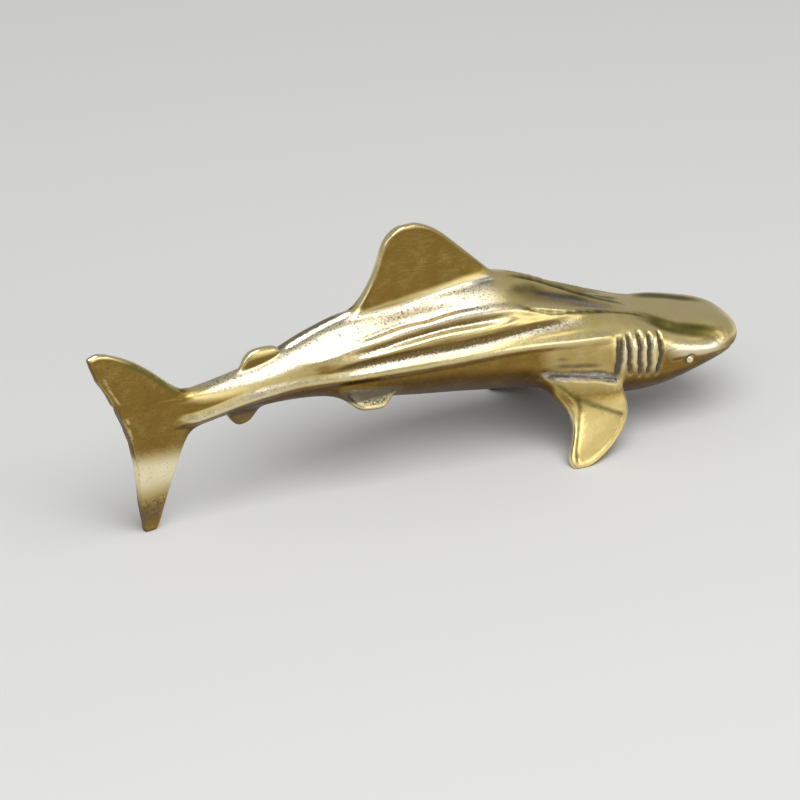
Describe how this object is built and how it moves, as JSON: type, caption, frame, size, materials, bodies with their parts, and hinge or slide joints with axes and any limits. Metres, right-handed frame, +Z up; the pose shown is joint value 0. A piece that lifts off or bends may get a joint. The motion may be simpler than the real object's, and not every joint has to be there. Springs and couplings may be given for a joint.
{
  "type": "shark figurine",
  "caption": "Solid cast brass figurine of a whale shark with raised back ridges, gill slits and broad fins, standing on its pectoral fin tips and lower tail lobe.",
  "frame": {"origin": "centre of the bounding box in plan, at the level of the table it stands on", "axes": "+X towards the head, +Y towards the shark's own left side, +Z up"},
  "size_m": [0.083, 0.022, 0.029],
  "materials": {
    "brass": "polished on the ridges and rims, dark grainy patina in the grooves"
  },
  "bodies": {
    "root": {"shark_figurine": "brass"}
  },
  "joints": []
}
